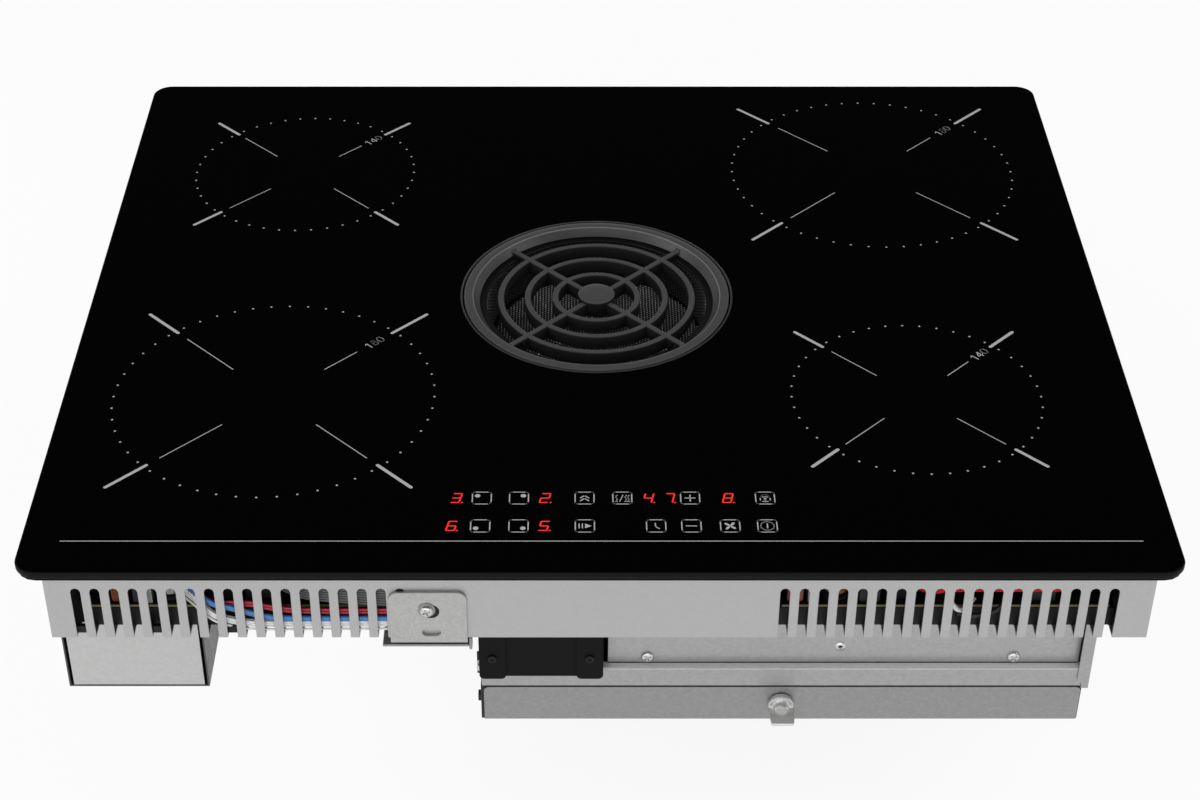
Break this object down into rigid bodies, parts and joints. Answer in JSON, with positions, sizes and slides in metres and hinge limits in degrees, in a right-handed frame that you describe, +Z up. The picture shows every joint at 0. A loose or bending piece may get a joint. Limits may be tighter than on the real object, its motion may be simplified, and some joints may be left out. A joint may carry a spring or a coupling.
{
  "type": "downdraft induction cooktop",
  "caption": "Built-in glass induction hob with a round central extraction grille and a metal fan box with drip tray below.",
  "frame": {"origin": "middle of the worktop cut-out, in the plane of the glass's underside", "axes": "+X to the right seen from the control side, +Y to the back, +Z up out of the worktop"},
  "size_m": [0.6, 0.51, 0.2001],
  "materials": {
    "glass": "polished black glass-ceramic with a ground edge",
    "rubber": "soft foam",
    "chassis_steel": "light grey, satin",
    "copper": "varnished winding",
    "aluminium": "plain sheet",
    "black_plastic": "fine moulded grain",
    "circuit_board": "bare laminate edge",
    "capacitor_red": "dipped",
    "wire_blue": "extruded",
    "wire_red": "extruded",
    "wire_white": "extruded",
    "nylon": "moulded",
    "bright_steel": "zinc and nickel plate",
    "filter_metal": "fine perforated sheet",
    "grille_grey": "satin enamel",
    "galvanised": "zinc-coated sheet, faint grain"
  },
  "bodies": {
    "cooktop": {"glass_top": "glass", "glass_seal": "rubber", "chassis_pan": "chassis_steel", "side_plate_right": "chassis_steel", "terminal_box_body": "chassis_steel", "terminal_box_front": "chassis_steel", "terminal_box_rear": "chassis_steel", "coil_rear_left": "copper", "coil_front_left": "copper", "coil_rear_right": "copper", "coil_front_right": "copper", "choke_left": "copper", "choke_right": "copper", "coil_carrier_left": "aluminium", "coil_carrier_right": "aluminium", "heat_sink_left": "aluminium", "heat_sink_right": "aluminium", "fan_motor": "aluminium", "board_tray_left": "black_plastic", "board_tray_right": "black_plastic", "cooling_fan_frame_left": "black_plastic", "cooling_fan_frame_right": "black_plastic", "touch_board_holder": "black_plastic", "cable_gland": "black_plastic", "inlet_well": "black_plastic", "fan_control_housing": "black_plastic", "scroll_housing": "black_plastic", "outlet_collar": "black_plastic", "power_board_left": "circuit_board", "power_board_right": "circuit_board", "touch_board": "circuit_board", "fan_control_card": "circuit_board", "film_capacitor_left": "capacitor_red", "film_capacitor_right": "capacitor_red", "harness_blue": "wire_blue", "harness_red": "wire_red", "coil_lead": "wire_red", "harness_white": "wire_white", "harness_connector": "nylon", "terminal_block": "nylon", "clamp_bracket_front": "bright_steel", "clamp_bracket_rear": "bright_steel", "clamp_screw_front": "bright_steel", "clamp_screw_rear": "bright_steel", "panel_screw_left": "bright_steel", "panel_screw_right": "bright_steel", "panel_rivet": "bright_steel", "fan_box_shell": "galvanised", "front_panel_upper": "galvanised", "inlet_ring": "galvanised"},
    "grease_filter": {"grease_filter": "filter_metal"},
    "grille": {"grille": "grille_grey"},
    "drip_tray": {"drip_tray": "black_plastic", "tray_front_plate": "galvanised", "tray_gasket": "rubber"},
    "drain_plug": {"drain_plug": "bright_steel"},
    "impeller": {"impeller": "black_plastic"},
    "cooling_fan_left": {"cooling_fan_rotor_left": "black_plastic"},
    "cooling_fan_right": {"cooling_fan_rotor_right": "black_plastic"}
  },
  "joints": [
    {"name": "filter_lift", "type": "slide", "parent": "cooktop", "child": "grease_filter", "axis": [0, 0, 1], "range_m": [0, 0.12]},
    {"name": "grille_lift", "type": "slide", "parent": "grease_filter", "child": "grille", "axis": [0, 0, 1], "range_m": [0, 0.1]},
    {"name": "tray_drop", "type": "slide", "parent": "cooktop", "child": "drip_tray", "axis": [0, 0, -1], "range_m": [0, 0.08]},
    {"name": "drain_plug_turn", "type": "hinge", "parent": "drip_tray", "child": "drain_plug", "pos_m": [0.1085, -0.1568, -0.181], "axis": [0, -1, 0], "continuous": true},
    {"name": "impeller_spin", "type": "hinge", "parent": "cooktop", "child": "impeller", "pos_m": [0.1727, -0.025, -0.09], "axis": [0, 0, 1], "continuous": true},
    {"name": "cooling_fan_left_spin", "type": "hinge", "parent": "cooktop", "child": "cooling_fan_left", "pos_m": [-0.182, 0.018, -0.037], "axis": [0, 0, 1], "continuous": true},
    {"name": "cooling_fan_right_spin", "type": "hinge", "parent": "cooktop", "child": "cooling_fan_right", "pos_m": [0.182, 0.018, -0.037], "axis": [0, 0, 1], "continuous": true}
  ]
}
